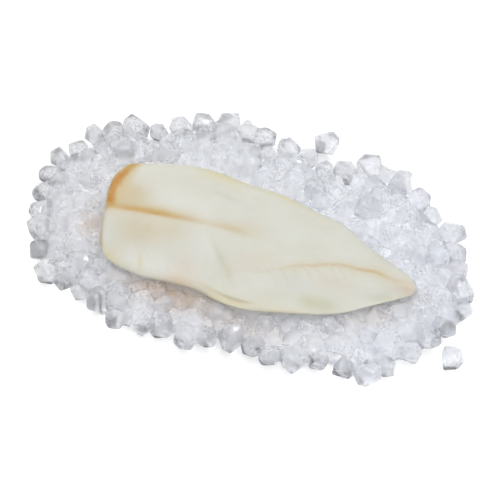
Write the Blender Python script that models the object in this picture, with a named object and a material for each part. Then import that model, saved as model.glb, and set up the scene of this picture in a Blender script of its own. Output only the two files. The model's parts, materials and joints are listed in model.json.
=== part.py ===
"""A skinless orange roughy fillet lying on a loose bed of ice nuggets.

Metres, +Z up. X runs along the fillet from its head end to its tail, +Y is the back of the fish,
and the origin is on the floor under the middle of everything that is shown.
"""

import math
import random

import bmesh
import bpy
import numpy as np
from mathutils import Euler, Matrix, Vector

MM = 0.001

# Fillet: its four edges seen from above, in mm, in its own frame
BACK_EDGE = [(-99.6, 31.4), (-91, 37), (-77, 41.3), (-58, 45.6), (-38, 46.3), (-15, 43.5), (12, 42),
             (35, 36.7), (56, 32.4), (74, 22.8), (91.5, 14.2), (105, 9), (112.7, 3.6)]
BELLY_EDGE = [(-90, -38.2), (-80, -43), (-62, -46.3), (-42, -45.4), (-22, -45.4), (-6, -49.5), (14, -50),
              (39.5, -44.3), (59.5, -39), (74.5, -32.6), (89.6, -22.1), (103, -13), (113.4, -5.7)]
HEAD_EDGE = [(-90, -38.2), (-96, -28.5), (-99.6, -15.5), (-101.2, -6), (-104.2, 6), (-104.6, 19),
             (-99.6, 31.4)]
TAIL_EDGE = [(113.4, -5.7), (115.2, -0.8), (112.7, 3.6)]

# Fillet: its grid, whose lines crowd towards the rim
ROWS_ALONG = 40
ROWS_ACROSS = 23
CROWDING_ALONG = 0.55
CROWDING_ACROSS = 0.6

# Fillet: thickness along its length, as (place, thickness) in mm, and how it thins out to its rim
LOIN_THICKNESS = [(-105, 16), (-70, 17.5), (-35, 18), (10, 16.5), (50, 13.5), (85, 9.5), (116, 6)]
RIM_HEIGHT = 2.4 * MM
CUT_ROLL = 4.5 * MM
CUT_START = -99 * MM
CUT_RUN = 16 * MM
LOIN_ROLL = 9 * MM
THIN_ROLL = 6 * MM
UNDER_ROLL = 3 * MM
BELLY_THINNING = 0.68
SHORTEST_RUN = 14 * MM
BACK_THINNING = 0.06
BACK_START = 8 * MM
BACK_RUN = 30 * MM

# Fillet: where the thick loin gives way to the belly, in mm
BELLY_BORDER = [(-105, -6), (-60, -3), (-20, -4), (10, -8), (40, -8), (70, -4), (95, -1.5), (116, 0)]

# Fillet: the seam between loin and belly, the lateral line and the folded belly flap, in mm
SEAM_LINE = [(-104, -8.6), (-86, -5.7), (-65, -3.9), (-41, -2.6), (-20, -1.4), (5, -1)]
SEAM_DEPTH = 1.2 * MM
SEAM_FADE_START = -60 * MM
SEAM_FADE_RUN = 60 * MM
LOIN_FLANK = 5 * MM
BELLY_FLANK = 4 * MM
LATERAL_LINE = [(-3, -28), (11, -23.5), (21, -20), (31, -12.8), (41, -10.2), (52, -7), (62, -3), (75, -2.2),
                (85, -0.6), (97, -1.8), (108, 0.4), (116, 0.8)]
LATERAL_DEPTH = 0.15 * MM
LATERAL_WIDTH = 3 * MM
LATERAL_START = -10 * MM
LATERAL_RUN = 30 * MM
FLAP_MIDDLE = 4 * MM
FLAP_HALF_LENGTH = 19 * MM
FLAP_WIDTH = 3.6 * MM
FLAP_DROP = 1.8 * MM
FLAP_STEP = 1.5 * MM

# Ice: the bed's outline through the middles of its outermost nuggets, in mm, and what lies apart from it
BED_OUTLINE = [(-136, -37), (-145, -18), (-152, 11), (-157, 29), (-142, 47), (-136, 61), (-125, 73),
               (-105, 77), (-74, 92), (-47, 101), (-31, 95), (-17, 97), (13, 90), (34, 83), (57, 97), (75, 88),
               (87, 86), (111, 66), (124, 58), (138, 25), (145, -4), (127, -31), (109, -58), (95, -65),
               (66, -64), (54, -71), (30, -68), (0, -65), (-17, -77), (-37, -71), (-60, -77), (-80, -67),
               (-108, -57), (-124, -53)]
STRAYS = {"stray_nugget_back": (22, 108), "stray_nugget_front": (149, -36)}
SEAT_HEIGHT = 19 * MM
SHELF_HEIGHT = 11.5 * MM
RIM_OF_ICE = 5.5 * MM
SEAT_INSET = 6 * MM
SEAT_RUN = 11 * MM
SLOPE_RUN = 30 * MM
CORE_INSET = 4 * MM
REST_GAP = 0.3 * MM

# Ice: the rings of the packed core, by their share of the way from its rim to the middle one
CORE_SIDES = 56
CORE_RINGS = (0, 0.35, 0.65, 0.85)
MIDDLE_RING_INSET = 5 * MM

# Ice: one nugget, and how the nuggets are spread
NUGGET = 19.5 * MM
NUGGET_SPREAD = 0.18
NUGGET_WANDER = 2 * MM
NUGGET_CORNERS = 12
NUGGET_KINDS = 8
NUGGET_FLATNESS = 0.85
NUGGET_REACH = 0.58
EDGE_SPACING = 16 * MM
INNER_SPACING = 12 * MM
EDGE_ROOM = 0.7
BESIDE_FILLET = 3.5 * MM
BESIDE_SPACING = 13.5 * MM
LOW_NUGGET = 16 * MM
FILLET_CLEARANCE = 0.6 * MM
FLOOR_CLEARANCE = 0.3 * MM
PILE_RISE = 6 * MM
TRIES = 5000
SEED = 7

# Colours, as linear red, green and blue
FLESH = (0.76, 0.73, 0.60, 1)
ICE = (0.72, 0.76, 0.82, 1)


def clear_scene():
    for obj in list(bpy.data.objects):
        bpy.data.objects.remove(obj, do_unlink=True)


def material(name, colour, roughness, transmission=0.0):
    made = bpy.data.materials.new(name)
    made.use_nodes = True
    shader = made.node_tree.nodes["Principled BSDF"]
    shader.inputs["Base Color"].default_value = colour
    shader.inputs["Roughness"].default_value = roughness
    shader.inputs["Metallic"].default_value = 0.0
    shader.inputs["Transmission Weight"].default_value = transmission
    return made


def smooth_curve(points, samples, closed=False):
    """Evenly spaced points of a Catmull-Rom curve through points in mm, as rows (x, y) in metres."""
    knots = np.array(points, float) * MM
    if closed:
        padded = np.vstack([knots[-1], knots, knots[:2]])
    else:
        padded = np.vstack([2 * knots[0] - knots[1], knots, 2 * knots[-1] - knots[-2]])
    fine = []
    for i in range(len(padded) - 3):
        before, start, end, after = padded[i:i + 4]
        t = np.linspace(0, 1, 24, endpoint=False)[:, None]
        fine.append(0.5 * (2 * start + (end - before) * t
                           + (2 * before - 5 * start + 4 * end - after) * t ** 2
                           + (3 * start - before - 3 * end + after) * t ** 3))
    fine = np.vstack(fine + [padded[-2][None]])
    travelled = np.concatenate([[0], np.cumsum(np.linalg.norm(np.diff(fine, axis=0), axis=1))])
    wanted = np.linspace(0, travelled[-1], samples + 1 if closed else samples)
    even = np.stack([np.interp(wanted, travelled, fine[:, k]) for k in (0, 1)], axis=1)
    return even[:-1] if closed else even


def smooth_step(value):
    t = np.clip(value, 0, 1)
    return t * t * (3 - 2 * t)


def depth_in(loop, xy):
    """How deep each point of xy lies inside a closed loop of points, negative outside it."""
    start, end = loop, np.roll(loop, -1, axis=0)
    side = end - start
    offset = xy[:, None] - start[None]
    along = np.clip((offset * side).sum(2) / (side ** 2).sum(1), 0, 1)
    distance = np.linalg.norm(offset - along[..., None] * side, axis=2).min(1)
    crosses = (start[None, :, 1] > xy[:, None, 1]) != (end[None, :, 1] > xy[:, None, 1])
    rise = np.where(side[:, 1] == 0, 1, side[:, 1])
    crossing_x = start[:, 0] + (xy[:, None, 1] - start[:, 1]) / rise * side[:, 0]
    inside = ((crosses & (xy[:, None, 0] < crossing_x)).sum(1) % 2).astype(bool)
    return np.where(inside, distance, -distance)


def offset_loop(loop, distance):
    """The loop moved outwards by a distance; the loop runs anticlockwise."""
    ahead = np.roll(loop, -1, axis=0) - np.roll(loop, 1, axis=0)
    outwards = np.stack([ahead[:, 1], -ahead[:, 0]], axis=1)
    return loop + distance * outwards / np.linalg.norm(outwards, axis=1)[:, None]


def height_on(line, x):
    """The second value of a line of (place, value) points in mm at each x, in metres."""
    curve = smooth_curve(line, 120)
    return np.interp(x, curve[:, 0], curve[:, 1])


def fillet_outline(samples_per_side=60):
    """The whole outline of the fillet as one anticlockwise loop."""
    belly = smooth_curve(BELLY_EDGE, samples_per_side)
    tail = smooth_curve(TAIL_EDGE, samples_per_side // 4)
    back = smooth_curve(BACK_EDGE, samples_per_side)[::-1]
    head = smooth_curve(HEAD_EDGE, samples_per_side // 2)[::-1]
    return np.vstack([belly[:-1], tail[:-1], back[:-1], head[:-1]])


def bed_outline(samples):
    """The loop through the middles of the outermost nuggets, anticlockwise."""
    return smooth_curve(BED_OUTLINE, samples, closed=True)[::-1]


def flesh_thickness(x, y):
    """Thickness of the flesh before its rim rolls over, and how far each point is on the belly side."""
    seam = height_on(SEAM_LINE, x)
    lateral = height_on(LATERAL_LINE, x)
    border = height_on(BELLY_BORDER, x)
    run = np.maximum(border - height_on(BELLY_EDGE, x), SHORTEST_RUN)
    belly = smooth_step((border - y) / run)
    back = smooth_step((y - border - BACK_START) / BACK_RUN)
    thickness = height_on(LOIN_THICKNESS, x) * (1 - BELLY_THINNING * belly - BACK_THINNING * back)
    seam_fade = 1 - smooth_step((x - SEAM_FADE_START) / SEAM_FADE_RUN)
    flank = np.where(y > seam, LOIN_FLANK, BELLY_FLANK)
    thickness -= SEAM_DEPTH * seam_fade * np.exp(-np.abs(y - seam) / flank)
    lateral_fade = smooth_step((x - LATERAL_START) / LATERAL_RUN)
    thickness -= LATERAL_DEPTH * lateral_fade * np.exp(-((y - lateral) / LATERAL_WIDTH) ** 2)
    return thickness, smooth_step((border - y) / SHORTEST_RUN)


def fillet_heights(xy):
    """Heights of the underside and of the top of the fillet at each point."""
    depth = np.clip(depth_in(fillet_outline(), xy), 0, None)
    x, y = xy.T
    rim = SEAT_HEIGHT + RIM_HEIGHT
    thickness, belly_side = flesh_thickness(x, y)
    from_cut = smooth_step((x - CUT_START) / CUT_RUN)
    roll = CUT_ROLL + (LOIN_ROLL + (THIN_ROLL - LOIN_ROLL) * belly_side - CUT_ROLL) * from_cut
    under_roll = np.sqrt(1 - (1 - np.clip(depth / UNDER_ROLL, 0, 1)) ** 2)
    top_roll = np.sqrt(1 - (1 - np.clip(depth / roll, 0, 1)) ** 2)
    along_flap = 1 - smooth_step(np.abs(x - FLAP_MIDDLE) / FLAP_HALF_LENGTH)
    over_flap = 1 - smooth_step((depth - FLAP_WIDTH) / FLAP_STEP)
    top = rim + (thickness - RIM_HEIGHT) * top_roll
    top -= FLAP_DROP * along_flap * over_flap * top_roll * (y < 0)
    return rim - RIM_HEIGHT * under_roll, top


def patch(u_lines, v_lines):
    """Points of the Coons patch between the fillet's four edges, as rows along its length."""
    samples = 400
    even = np.linspace(0, 1, samples)

    def at(edge, t):
        curve = smooth_curve(edge, samples)
        return np.stack([np.interp(t, even, curve[:, k]) for k in (0, 1)], axis=1)

    belly, back = at(BELLY_EDGE, u_lines), at(BACK_EDGE, u_lines)
    head, tail = at(HEAD_EDGE, v_lines), at(TAIL_EDGE, v_lines)
    u, v = u_lines[:, None, None], v_lines[None, :, None]
    across = (1 - v) * belly[:, None] + v * back[:, None]
    along = (1 - u) * head[None] + u * tail[None]
    corners = ((1 - u) * (1 - v) * belly[0] + (1 - u) * v * back[0]
               + u * (1 - v) * belly[-1] + u * v * back[-1])
    return across + along - corners


def crowded_ends(count, crowding):
    """Values from 0 to 1 that crowd towards both ends, where the rim rolls over."""
    t = np.linspace(0, 1, count)
    return (1 - crowding) * t + crowding * (1 - np.cos(math.pi * t)) / 2


def mesh_of(made, name):
    mesh = bpy.data.meshes.new(name)
    bmesh.ops.recalc_face_normals(made, faces=made.faces)
    made.to_mesh(mesh)
    made.free()
    return mesh


def shell_of_grid(name, points, under, top):
    """One closed mesh from a grid of points, whose underside and top meet all round its border."""
    rows, columns = points.shape[:2]
    made = bmesh.new()
    upper = [[made.verts.new((*points[i, j], top[i, j])) for j in range(columns)] for i in range(rows)]
    lower = [row[:] for row in upper]
    for i in range(1, rows - 1):
        for j in range(1, columns - 1):
            lower[i][j] = made.verts.new((*points[i, j], under[i, j]))
    for i in range(rows - 1):
        for j in range(columns - 1):
            made.faces.new((upper[i][j], upper[i + 1][j], upper[i + 1][j + 1], upper[i][j + 1]))
            made.faces.new((lower[i][j], lower[i][j + 1], lower[i + 1][j + 1], lower[i + 1][j]))
    bmesh.ops.triangulate(made, faces=made.faces)
    return mesh_of(made, name)


def add_object(name, mesh, finish):
    obj = bpy.data.objects.new(name, mesh)
    obj.data.materials.append(finish)
    bpy.context.scene.collection.objects.link(obj)
    return obj


def make_fillet(finish):
    points = patch(crowded_ends(ROWS_ALONG, CROWDING_ALONG), crowded_ends(ROWS_ACROSS, CROWDING_ACROSS))
    under, top = (heights.reshape(points.shape[:2]) for heights in fillet_heights(points.reshape(-1, 2)))
    rim = np.ones(top.shape, bool)
    rim[1:-1, 1:-1] = False
    top[rim] = SEAT_HEIGHT + RIM_HEIGHT
    mesh = shell_of_grid("fillet", points, under, top)
    mesh.shade_smooth()
    return add_object("fillet", mesh, finish)


def ice_height(xy):
    """Top of the packed ice: the fillet's seat, a shelf round it and a slope down to the rim."""
    outside = -depth_in(fillet_outline(), xy)
    inside = depth_in(bed_outline(120), xy)
    shelf = RIM_OF_ICE + (SHELF_HEIGHT - RIM_OF_ICE) * smooth_step(inside / SLOPE_RUN)
    seat = SEAT_HEIGHT - REST_GAP
    return seat + (shelf - seat) * smooth_step((outside + SEAT_INSET) / SEAT_RUN)


def make_core(finish):
    """The packed ice under the nuggets: rings from the rim in to the fillet's seat, with a flat underside."""
    rim = offset_loop(bed_outline(CORE_SIDES), -CORE_INSET)
    seat = offset_loop(fillet_outline(), -MIDDLE_RING_INSET)
    turn = np.arctan2(*seat.T[::-1])
    order = np.argsort(turn)
    widths = np.linalg.norm(seat, axis=1)
    reach = np.interp(np.arctan2(*rim.T[::-1]), turn[order], widths[order], period=2 * math.pi)
    inner = rim * (reach / np.linalg.norm(rim, axis=1))[:, None]
    made = bmesh.new()
    rings = [[made.verts.new((*p, 0)) for p in rim]]
    for share in CORE_RINGS:
        ring = rim * (1 - share) + inner * share
        rings.append([made.verts.new((*p, z)) for p, z in zip(ring, ice_height(ring))])
    rings.append([made.verts.new((*p, SEAT_HEIGHT - REST_GAP)) for p in inner])
    for outer, nearer in zip(rings, rings[1:]):
        for i in range(CORE_SIDES):
            k = (i + 1) % CORE_SIDES
            made.faces.new((outer[i], outer[k], nearer[k], nearer[i]))
    bmesh.ops.triangulate(made, faces=made.faces)
    made.faces.new(rings[-1])
    made.faces.new(rings[0])
    return add_object("ice_bed", mesh_of(made, "ice_bed"), finish)


def nugget_corners(kind):
    """Corners of one kind of nugget of unit width: a jittered ball of points, a little flattened."""
    draw = random.Random(SEED * 100 + kind)
    golden = math.pi * (3 - math.sqrt(5))
    corners = []
    for i in range(NUGGET_CORNERS):
        z = 1 - 2 * (i + 0.5) / NUGGET_CORNERS + draw.uniform(-0.07, 0.07)
        turn = golden * i + draw.uniform(-0.4, 0.4)
        flat = math.sqrt(1 - z * z)
        reach = NUGGET_REACH * draw.uniform(0.82, 1)
        corners.append(Vector((flat * math.cos(turn), flat * math.sin(turn), z * NUGGET_FLATNESS)) * reach)
    return corners


def nugget_places():
    """Middles of the nuggets: a row along the outline, one round the fillet, and the rest between."""
    draw = random.Random(SEED)
    bed = bed_outline(480)
    beside = offset_loop(fillet_outline(), BESIDE_FILLET)
    places = []
    for loop, spacing in ((bed, EDGE_SPACING), (beside, BESIDE_SPACING)):
        length = np.linalg.norm(np.roll(loop, -1, axis=0) - loop, axis=1).sum()
        count = round(length / spacing)
        for i in range(count):
            place = loop[round(i * len(loop) / count) % len(loop)]
            places.append(place + NUGGET_WANDER * np.array([draw.uniform(-1, 1), draw.uniform(-1, 1)]))
    corner, far_corner = bed.min(0), bed.max(0)
    tries = np.array([[draw.uniform(corner[k], far_corner[k]) for k in (0, 1)] for _ in range(TRIES)])
    room = EDGE_ROOM * INNER_SPACING
    roomy = (depth_in(bed, tries) > room) & (-depth_in(beside, tries) > room)
    for place in tries[roomy]:
        if min(np.linalg.norm(place - other) for other in places) > INNER_SPACING:
            places.append(place)
    return np.array(places)


def nugget_span(kind, turns, size):
    """Heights of a nugget's lowest and highest corner over its middle."""
    turn = Euler(turns).to_matrix() * size
    heights = [(turn @ corner).z for corner in nugget_corners(kind)]
    return min(heights), max(heights)


def nugget_spots():
    """Every nugget of the heap, as (x, y, rise, size, kind, turns); by the fillet's rim they stay low."""
    draw = random.Random(SEED + 1)
    places = nugget_places()
    rises = PILE_RISE * smooth_step(depth_in(bed_outline(120), places) / SLOPE_RUN)
    distances = -depth_in(fillet_outline(), places) - FILLET_CLEARANCE
    spots = []
    for (x, y), rise, distance in zip(places, rises, distances):
        size = NUGGET * draw.uniform(1 - NUGGET_SPREAD, 1 + NUGGET_SPREAD)
        rise += draw.uniform(-1, 2) * MM
        kind = draw.randrange(NUGGET_KINDS)
        turns = tuple(draw.uniform(0, 2 * math.pi) for _ in range(3))
        if distance < NUGGET_REACH * size:
            size = min(size, LOW_NUGGET)
            lowest, highest = nugget_span(kind, turns, size)
            rise = min(rise, SEAT_HEIGHT - REST_GAP - (highest - lowest))
        spots.append((x, y, max(rise, FLOOR_CLEARANCE), size, kind, turns))
    return spots


def nugget_mesh(name, x, y, rise, size, kind, turns):
    """A convex nugget whose lowest corner is the given rise above the floor."""
    turn = Euler(turns).to_matrix() * size
    corners = [turn @ corner for corner in nugget_corners(kind)]
    lift = rise - min(corner.z for corner in corners)
    made = bmesh.new()
    for corner in corners:
        made.verts.new(corner + Vector((x, y, lift)))
    hull = bmesh.ops.convex_hull(made, input=made.verts)
    inner = [item for item in hull["geom_interior"] if isinstance(item, bmesh.types.BMVert)]
    bmesh.ops.delete(made, geom=inner, context="VERTS")
    return mesh_of(made, name)


def fuse_nuggets(core, finish):
    """Joins the nuggets that show to the packed ice with one Boolean union."""
    loose = bpy.data.collections.new("loose_nuggets")
    bpy.context.scene.collection.children.link(loose)
    for number, spot in enumerate(nugget_spots()):
        name = f"nugget_{number}"
        loose.objects.link(bpy.data.objects.new(name, nugget_mesh(name, *spot)))
    union = core.modifiers.new("fuse", "BOOLEAN")
    union.operation = "UNION"
    union.operand_type = "COLLECTION"
    union.collection = loose
    union.solver = "MANIFOLD"
    graph = bpy.context.evaluated_depsgraph_get()
    fused = bpy.data.meshes.new_from_object(core.evaluated_get(graph))
    core.modifiers.clear()
    core.data = fused
    core.data.materials.clear()
    core.data.materials.append(finish)
    for obj in list(loose.objects):
        bpy.data.objects.remove(obj, do_unlink=True)
    bpy.data.collections.remove(loose)


def keep_largest_shell(obj):
    """Drops loose scraps and the walls of sealed hollows, so that one solid body is left."""
    made = bmesh.new()
    made.from_mesh(obj.data)
    unseen = set(made.verts)
    shells = []
    while unseen:
        shell, edge = [], [unseen.pop()]
        while edge:
            vert = edge.pop()
            shell.append(vert)
            for link in vert.link_edges:
                other = link.other_vert(vert)
                if other in unseen:
                    unseen.remove(other)
                    edge.append(other)
        shells.append(shell)
    shells.sort(key=len)
    for shell in shells[:-1]:
        bmesh.ops.delete(made, geom=shell, context="VERTS")
    made.to_mesh(obj.data)
    made.free()


def make_strays(finish):
    """The nuggets that lie apart from the heap, each a solid of its own."""
    for kind, (name, (x, y)) in enumerate(STRAYS.items()):
        mesh = nugget_mesh(name, x * MM, y * MM, 0, NUGGET, kind, (0.4 + kind, 0.3, 1.1 * kind))
        add_object(name, mesh, finish)


def centre_on_origin():
    """Moves everything level, so that the origin lies under the middle of it all."""
    objects = list(bpy.context.scene.objects)
    corners = np.array([v.co for obj in objects for v in obj.data.vertices])
    middle = (corners.min(0) + corners.max(0)) / 2
    for obj in objects:
        obj.data.transform(Matrix.Translation((-middle[0], -middle[1], 0)))


def main():
    clear_scene()
    flesh = material("flesh", FLESH, 0.35)
    ice = material("ice", ICE, 0.15, transmission=0.6)
    make_fillet(flesh)
    core = make_core(ice)
    fuse_nuggets(core, ice)
    keep_largest_shell(core)
    make_strays(ice)
    centre_on_origin()


main()
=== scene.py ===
"""Dresses the orange roughy fillet in moist flesh and its bed in wet ice nuggets, under soft light."""

import json
import math
import random

import bmesh
import bpy
import numpy as np
from mathutils import Euler, Matrix, Vector

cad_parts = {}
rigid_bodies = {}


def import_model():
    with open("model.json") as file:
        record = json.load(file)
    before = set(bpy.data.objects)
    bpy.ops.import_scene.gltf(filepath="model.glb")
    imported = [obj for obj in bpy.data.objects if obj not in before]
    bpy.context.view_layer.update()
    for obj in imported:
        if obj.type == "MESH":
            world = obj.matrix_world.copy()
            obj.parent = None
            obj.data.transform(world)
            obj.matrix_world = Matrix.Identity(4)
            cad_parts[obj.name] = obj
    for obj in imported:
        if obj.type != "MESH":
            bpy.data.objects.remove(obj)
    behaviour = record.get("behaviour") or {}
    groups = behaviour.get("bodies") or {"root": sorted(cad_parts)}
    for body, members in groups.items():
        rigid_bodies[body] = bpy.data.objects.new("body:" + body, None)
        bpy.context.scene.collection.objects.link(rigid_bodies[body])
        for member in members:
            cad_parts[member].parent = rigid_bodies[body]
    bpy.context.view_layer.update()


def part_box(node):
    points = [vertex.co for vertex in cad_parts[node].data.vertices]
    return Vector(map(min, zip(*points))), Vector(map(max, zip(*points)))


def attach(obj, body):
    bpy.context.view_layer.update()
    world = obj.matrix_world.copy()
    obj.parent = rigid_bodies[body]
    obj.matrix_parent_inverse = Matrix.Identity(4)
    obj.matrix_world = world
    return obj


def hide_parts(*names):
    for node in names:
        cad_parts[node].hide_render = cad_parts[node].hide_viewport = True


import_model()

MM = 0.001

# Curves: steps from one given point to the next, and samples to read a height or an edge off them
CURVE_STEPS = 24
HEIGHT_STEPS = 120
EDGE_STEPS = 400

# Fillet: its four edges seen from above, in mm, in its own frame
BACK_EDGE = [(-99.6, 31.4), (-91, 37), (-77, 41.3), (-58, 45.6), (-38, 46.3), (-15, 43.5), (12, 42),
             (35, 36.7), (56, 32.4), (74, 22.8), (91.5, 14.2), (105, 9), (112.7, 3.6)]
BELLY_EDGE = [(-90, -38.2), (-80, -43), (-62, -46.3), (-42, -45.4), (-22, -45.4), (-6, -49.5), (14, -50),
              (39.5, -44.3), (59.5, -39), (74.5, -32.6), (89.6, -22.1), (103, -13), (113.4, -5.7)]
HEAD_EDGE = [(-90, -38.2), (-96, -28.5), (-99.6, -15.5), (-101.2, -6), (-104.2, 6), (-104.6, 19),
             (-99.6, 31.4)]
TAIL_EDGE = [(113.4, -5.7), (115.2, -0.8), (112.7, 3.6)]

# Fillet: its grid, whose lines crowd towards the rim
ROWS_ALONG = 280
ROWS_ACROSS = 126
CROWDING_ALONG = 0.55
CROWDING_ACROSS = 0.6

# Fillet: thickness along its length, as (place, thickness) in mm, and how it thins out to its rim
LOIN_THICKNESS = [(-105, 16), (-70, 17.5), (-35, 18), (10, 16.5), (50, 13.5), (85, 9.5), (116, 6)]
RIM_HEIGHT = 2.4 * MM
CUT_ROLL = 4.5 * MM
CUT_START = -99 * MM
CUT_RUN = 16 * MM
LOIN_ROLL = 9 * MM
THIN_ROLL = 6 * MM
UNDER_ROLL = 3 * MM
LEAST_DEPTH = 0.05 * MM
BELLY_THINNING = 0.68
SHORTEST_RUN = 14 * MM
BACK_THINNING = 0.06
BACK_START = 8 * MM
BACK_RUN = 30 * MM

# Fillet: where the thick loin gives way to the belly, in mm
BELLY_BORDER = [(-105, -6), (-60, -3), (-20, -4), (10, -8), (40, -8), (70, -4), (95, -1.5), (116, 0)]

# Fillet: the seam between loin and belly, the lateral line and the folded belly flap, in mm
SEAM_LINE = [(-104, -8.6), (-86, -5.7), (-65, -3.9), (-41, -2.6), (-20, -1.4), (5, -1)]
SEAM_DEPTH = 1.2 * MM
SEAM_FADE_START = -60 * MM
SEAM_FADE_RUN = 60 * MM
LOIN_FLANK = 5 * MM
BELLY_FLANK = 4 * MM
LATERAL_LINE = [(-3, -29), (11, -25.5), (21, -22), (31, -17), (41, -12.6), (52, -8), (62, -3.9), (75, -2.2),
                (85, 0), (97, -1.5), (108, 0.4), (116, 0.8)]
LATERAL_DEPTH = 0.15 * MM
LATERAL_WIDTH = 3 * MM
LATERAL_START = -10 * MM
LATERAL_RUN = 30 * MM
FLAP_MIDDLE = 4 * MM
FLAP_HALF_LENGTH = 19 * MM
FLAP_WIDTH = 3.6 * MM
FLAP_DROP = 1.8 * MM
FLAP_STEP = 1.5 * MM

# Fillet: linear colours of its flesh and of what tints it
CREAM = (0.72, 0.71, 0.615)
WHITE = (0.765, 0.765, 0.70)
TAN = (0.66, 0.53, 0.30)
BROWN = (0.59, 0.37, 0.095)
FAT = (0.56, 0.26, 0.045)
STRAW = (0.73, 0.665, 0.44)
PINK = (0.72, 0.60, 0.47)
OLIVE = (0.545, 0.54, 0.345)
GREY = (0.60, 0.60, 0.55)

# Fillet: soft patches of tint, each as (place, half sizes, lean in degrees, strength), in mm
PATCHES = {
    "tan": [((-86, 5), (14, 10), 0, 0.75), ((-70, -18.3), (19, 11), -4, 0.48),
            ((-49, -12.3), (14, 8), 0, 0.2), ((-96, 14.7), (7, 22), 0, 0.5),
            ((-5, -30.3), (5, 3), -48, 0.25), ((-3, -0.8), (12, 4), 0, 0.3),
            ((9, -20.3), (16, 4), 15, 0.15)],
    "white": [((-93, -22.3), (9, 13), 0, 1.0), ((-63, -33.3), (13, 6), 0, 0.8),
              ((-45, -39.3), (9, 6), 0, 0.9), ((-27, -21.3), (13, 12), 0, 0.8),
              ((-72, -34), (6, 1.5), 108, 0.9), ((-59, -32), (8, 2.2), 108, 1.0),
              ((-52, -34), (7, 2), 108, 0.6), ((-21, -20), (9, 1.8), -52, 0.7),
              ((-49, 12.7), (22, 7), 0, 0.5), ((61, 6.7), (30, 7), -25, 0.4),
              ((85, -21.3), (16, 6), 25, 0.6)],
    "yellow": [((-63.5, -39), (6, 1.6), 108, 0.8), ((-30, 39.7), (19, 6), 0, 1.0),
               ((13, 35.7), (18, 3.5), -10, 0.7), ((-87, -40.3), (9, 8), 0, 0.65),
               ((31, -45.3), (26, 4), 4, 0.45), ((-4, -50.3), (14, 4), -4, 0.6)],
    "pink": [((-35, -45.3), (13, 5), 0, 0.9), ((-35, -34.3), (9, 8), 0, 0.4),
             ((60, -17.3), (13, 5), 12, 0.4), ((108, -3), (8, 5), 0, 0.7),
             ((9, -17.3), (20, 5), 15, 0.2), ((1, 4.7), (9, 3), 0, 0.25)],
    "olive": [((51, -34), (7, 5), 10, 0.5), ((62, -32), (7, 5), 10, 0.5),
              ((31, -36), (16, 6), 15, 0.2), ((-12, -24), (13, 2.4), -48, 0.32),
              ((95, -15), (10, 2.5), 20, 0.4)],
    "grey": [((-23, 22.4), (11, 2.2), -12, 0.35), ((37, -26), (14, 6), 5, 0.4),
             ((-86, 5), (14, 10), 0, 0.9)],
}
PATCH_TINTS = {"white": WHITE, "grey": GREY, "tan": TAN, "yellow": STRAW, "pink": PINK, "olive": OLIVE}

# Fillet: strength of the brown along the seam and along the lateral line, as (place in mm, strength)
SEAM_TINT = [(-105, 0.65), (-87, 0.85), (-63, 1.0), (-49, 0.63), (-38, 0.35), (-29, 0.16), (-17, 0.28),
             (-8, 0.24), (0, 0)]
LATERAL_TINT = [(-5, 0), (3, 0.15), (25, 0.2), (37, 0.4), (53, 0.55), (67, 0.6), (79, 0.68), (89, 0.85),
                (99, 0.4), (106, 0.12), (117, 0)]

# Fillet: bands of tint, as (middle, width) across the seam, the lateral line, the head band and the fold
SEAM_WASH = (1 * MM, 4.8 * MM)
SEAM_CORE = (-0.2 * MM, 2.5 * MM)
SEAM_FAT = (-1.4 * MM, 0.9 * MM)
LATERAL_WASH = (-0.5 * MM, 5 * MM)
LATERAL_CORE = (0, 1.5 * MM)
BAND_CORE = (0, 4.2 * MM)
BAND_FAT = (0.4 * MM, 2.2 * MM)
FOLD_SHADE = (3.6 * MM, 1.4 * MM)

# Fillet: the head band's middle line, which bends away from the cut at both ends
BAND_PLACE = -99.2 * MM
BAND_MIDDLE = 8 * MM
BAND_BEND = 12

# Fillet: from where to where each tint grows, along the fillet, across it or in from its rim
RIM_FADE = (0.5 * MM, 4.5 * MM)
BAND_BOTTOM = (-9 * MM, -3 * MM)
BAND_TOP = (37 * MM, 31 * MM)
BAND_WASH_END = (-85 * MM, -94 * MM)
BAND_FAT_TOP = (31 * MM, 20 * MM)
CUT_FACE = (-90 * MM, -95 * MM)
CUT_TOP = (-6 * MM, -10 * MM)
CUT_BOTTOM = (-36 * MM, -30 * MM)
CUT_RIM = (2.6 * MM, 0.8 * MM)
FOLD_START = (-24 * MM, -14 * MM)
FOLD_END = (17 * MM, 9 * MM)
FOLD_SIDE = (-23 * MM, -33 * MM)
FOLD_RIM = (3.2 * MM, 2.2 * MM)

# Fillet: sizes of its blotches, streaks and pores, and how far the blotches push a line of tint aside
BROAD_SIZE = 35 * MM
BLOTCH_SIZE = 9 * MM
PORE_SIZE = 2.5 * MM
STREAK_SIZE = 2.2 * MM
WANDER = 1.6 * MM

# Fillet: the fine relief of its muscle flakes, which lean back from the lateral line
FLAKE_SPACING = 7 * MM
FLAKE_DEPTH = 0.2 * MM
FLAKE_TIP = 4 * MM
FLAKE_CURVE = 0.8
FLAKE_REACH = 3.2
FLAKE_LEAN = 0.12
FLAKE_WANDER = 1.6
FLAKE_WANDER_SIZE = 30 * MM
FLAKE_PATCH_SIZE = 16 * MM
FLAKE_RIM = 6 * MM
FLAKES_UNDER_LINE = ((1 * MM, -2 * MM), (-14 * MM, -6 * MM))
FLAKES_BY_TAIL = ((15 * MM, 30 * MM), (85 * MM, 70 * MM))

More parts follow.
